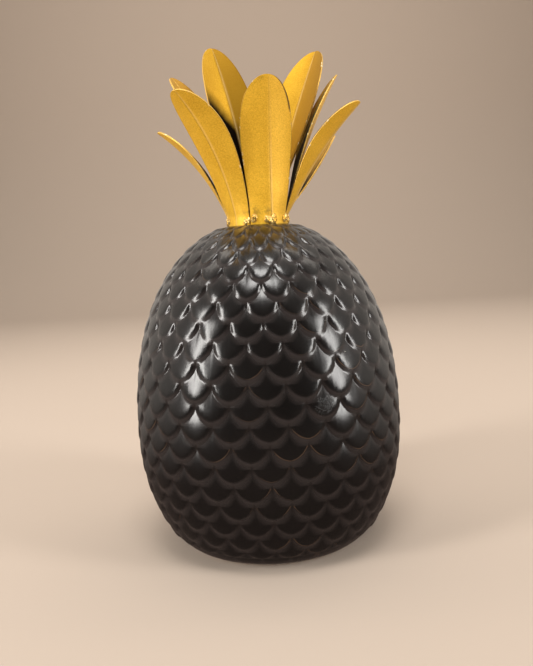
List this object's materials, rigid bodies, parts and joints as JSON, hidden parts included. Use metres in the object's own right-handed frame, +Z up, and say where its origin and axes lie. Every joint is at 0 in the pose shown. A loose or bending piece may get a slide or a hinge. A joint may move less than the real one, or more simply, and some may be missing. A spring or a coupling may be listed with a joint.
{
  "type": "pineapple ornament",
  "caption": "Black glazed pineapple ornament with overlapping scales and a crown of gold sheet-metal leaves.",
  "frame": {"origin": "middle of the flat underside", "axes": "+Z up along the body's axis, front of the ornament towards -Y, +X to the right seen from the front"},
  "size_m": [0.1524, 0.1526, 0.2884],
  "materials": {
    "black_glaze": "satin gloss glaze",
    "gold_paint": "satin gold paint"
  },
  "bodies": {
    "root": {"body": "black_glaze", "leaf_front": "gold_paint", "leaf_front_right": "gold_paint", "leaf_right_low": "gold_paint", "leaf_right_tall": "gold_paint", "leaf_back_right": "gold_paint", "leaf_back": "gold_paint", "leaf_back_left": "gold_paint", "leaf_left_tall": "gold_paint", "leaf_left_low": "gold_paint", "leaf_front_left": "gold_paint"}
  },
  "joints": []
}
